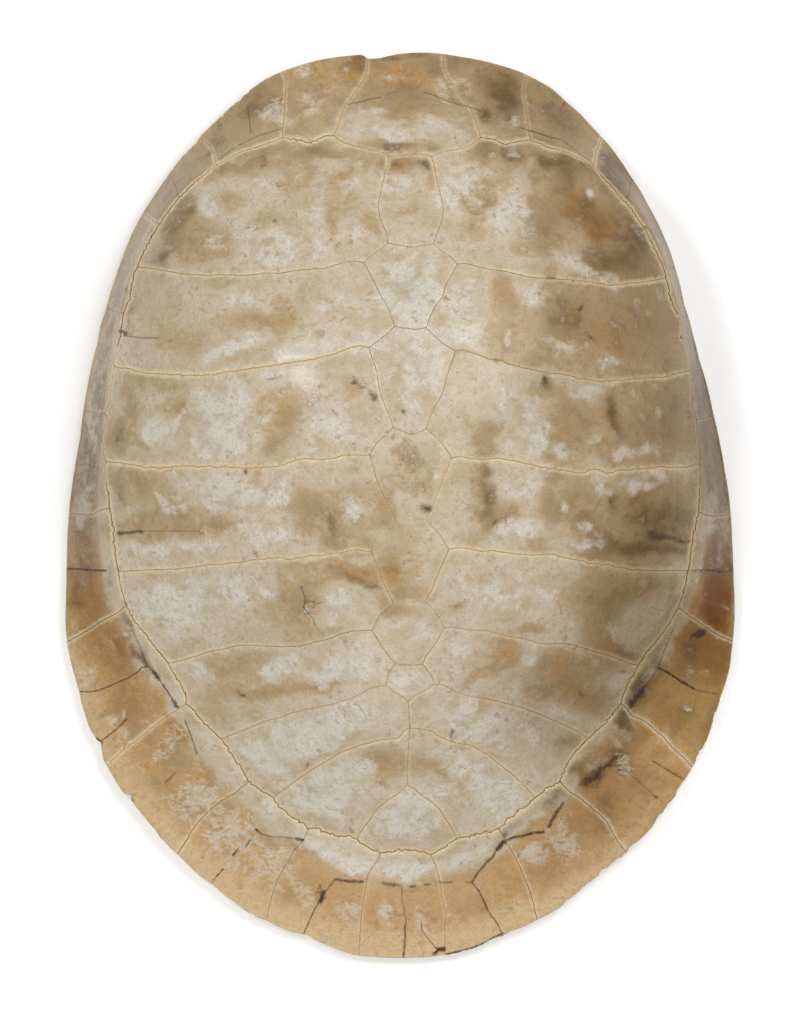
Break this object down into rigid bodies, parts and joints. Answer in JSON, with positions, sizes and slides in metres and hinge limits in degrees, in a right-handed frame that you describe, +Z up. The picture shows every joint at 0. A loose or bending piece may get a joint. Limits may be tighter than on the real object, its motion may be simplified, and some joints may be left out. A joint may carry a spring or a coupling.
{
  "type": "turtle shell",
  "caption": "Domed bony carapace of a large river turtle, cleaned and polished, hollow below, standing on its rim.",
  "frame": {"origin": "middle of the shell's box, on the surface that it stands on", "axes": "+X to the shell's right as seen from above with the head end up, +Y towards the head end, +Z up out of the back"},
  "size_m": [0.5176, 0.7, 0.1749],
  "materials": {
    "polished_bone": "satin"
  },
  "bodies": {
    "root": {"carapace": "polished_bone"}
  },
  "joints": []
}
